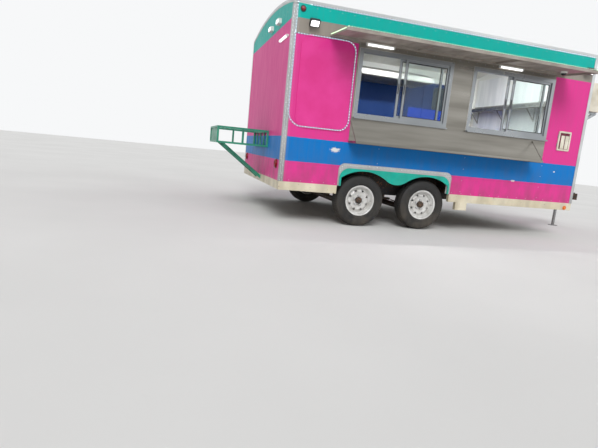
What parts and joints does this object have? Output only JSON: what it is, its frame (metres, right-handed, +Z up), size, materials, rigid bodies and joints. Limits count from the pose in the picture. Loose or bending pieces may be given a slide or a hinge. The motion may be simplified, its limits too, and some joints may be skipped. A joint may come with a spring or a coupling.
{
  "type": "tandem-axle concession trailer",
  "caption": "Box-bodied food trailer with sliding serving windows, canopy, shelf, railed rear rack, side door, twin axles and A-frame tongue on its jack.",
  "frame": {"origin": "on the ground under the middle of the whole trailer's box", "axes": "+X forward to the coupler, +Y to the road side away from the serving windows, +Z up"},
  "size_m": [6.36, 3.178, 2.836],
  "materials": {
    "frame_paint": "black chassis paint, road worn",
    "rail_paint": "cream enamel on the lower rail",
    "deck_wood": "plank floor, worn",
    "wall_paint": "pink, blue and teal enamel on aluminium skin",
    "roof_white": "white coated sheet",
    "tread_plate": "embossed tread plate",
    "trim_aluminium": "mill finish extrusion",
    "stainless": "brushed sheet",
    "window_aluminium": "bright anodised sections",
    "window_pane": "clear float glass",
    "canopy_paint": "grey painted sheet",
    "lamp_plastic": "translucent white covers",
    "menu_paint": "pink enamel board",
    "skirt_paint": "teal enamel",
    "rack_paint": "green enamel on square tube",
    "red_lens": "ribbed red lens",
    "dark_steel": "dark coated steel",
    "case_enamel": "ivory enamelled case",
    "zinc_steel": "zinc plated steel",
    "tyre_rubber": "moulded tyre rubber",
    "wheel_paint": "silver enamel on pressed steel",
    "appliance_steel": "brushed appliance steel",
    "black_plastic": "moulded",
    "amber_lens": "moulded amber lens"
  },
  "bodies": {
    "trailer": {"axle_front": "dark_steel", "axle_rear": "dark_steel", "canopy": "canopy_paint", "chassis_frame": "frame_paint", "cook_line": "appliance_steel", "cooler": "case_enamel", "cooler_bracket": "zinc_steel", "corner_caps_front": "trim_aluminium", "corner_caps_rear": "tread_plate", "counter": "stainless", "coupler": "dark_steel", "crossmembers": "frame_paint", "fender_panel_left": "trim_aluminium", "fender_panel_right": "trim_aluminium", "fender_skirt_left": "skirt_paint", "fender_skirt_right": "skirt_paint", "flood_lamps": "black_plastic", "floor_deck": "deck_wood", "hood": "appliance_steel", "menu_board": "menu_paint", "rack_braces": "rack_paint", "rear_lamps": "lamp_plastic", "rear_rack": "rack_paint", "roof": "roof_white", "roof_edge_trim": "trim_aluminium", "roof_vent": "trim_aluminium", "service_hatch": "case_enamel", "service_shelf": "stainless", "side_markers": "amber_lens", "skirt_rail": "rail_paint", "suspension_left": "dark_steel", "suspension_right": "dark_steel", "tail_lamps": "red_lens", "tongue_frame": "frame_paint", "tongue_jack": "zinc_steel", "tube_lamps": "lamp_plastic", "wall_front": "wall_paint", "wall_rear": "wall_paint", "wall_road": "wall_paint", "wall_service": "wall_paint", "wheel_well_left": "dark_steel", "wheel_well_right": "dark_steel", "window_frames": "window_aluminium", "window_glass": "window_pane", "window_sashes": "window_aluminium", "window_surround": "stainless"},
    "entry_door": {"door_glass": "window_pane", "door_handle": "black_plastic", "entry_door": "wall_paint"},
    "wheel_rear_right": {"tyre_rear_right": "tyre_rubber", "wheel_rear_right": "wheel_paint"},
    "wheel_rear_left": {"tyre_rear_left": "tyre_rubber", "wheel_rear_left": "wheel_paint"},
    "wheel_front_right": {"tyre_front_right": "tyre_rubber", "wheel_front_right": "wheel_paint"},
    "wheel_front_left": {"tyre_front_left": "tyre_rubber", "wheel_front_left": "wheel_paint"}
  },
  "joints": [
    {"name": "wheel_rear_right_spin", "type": "hinge", "parent": "trailer", "child": "wheel_rear_right", "pos_m": [-1.44, -0.913, 0.325], "axis": [0, 1, 0], "continuous": true},
    {"name": "wheel_rear_left_spin", "type": "hinge", "parent": "trailer", "child": "wheel_rear_left", "pos_m": [-1.44, 1.397, 0.325], "axis": [0, 1, 0], "continuous": true},
    {"name": "wheel_front_right_spin", "type": "hinge", "parent": "trailer", "child": "wheel_front_right", "pos_m": [-0.57, -0.913, 0.325], "axis": [0, 1, 0], "continuous": true},
    {"name": "wheel_front_left_spin", "type": "hinge", "parent": "trailer", "child": "wheel_front_left", "pos_m": [-0.57, 1.397, 0.325], "axis": [0, 1, 0], "continuous": true},
    {"name": "entry_door_hinge", "type": "hinge", "parent": "trailer", "child": "entry_door", "pos_m": [1.396, 1.547, 1.481], "axis": [0, 0, -1], "range_deg": [0, 110]}
  ]
}
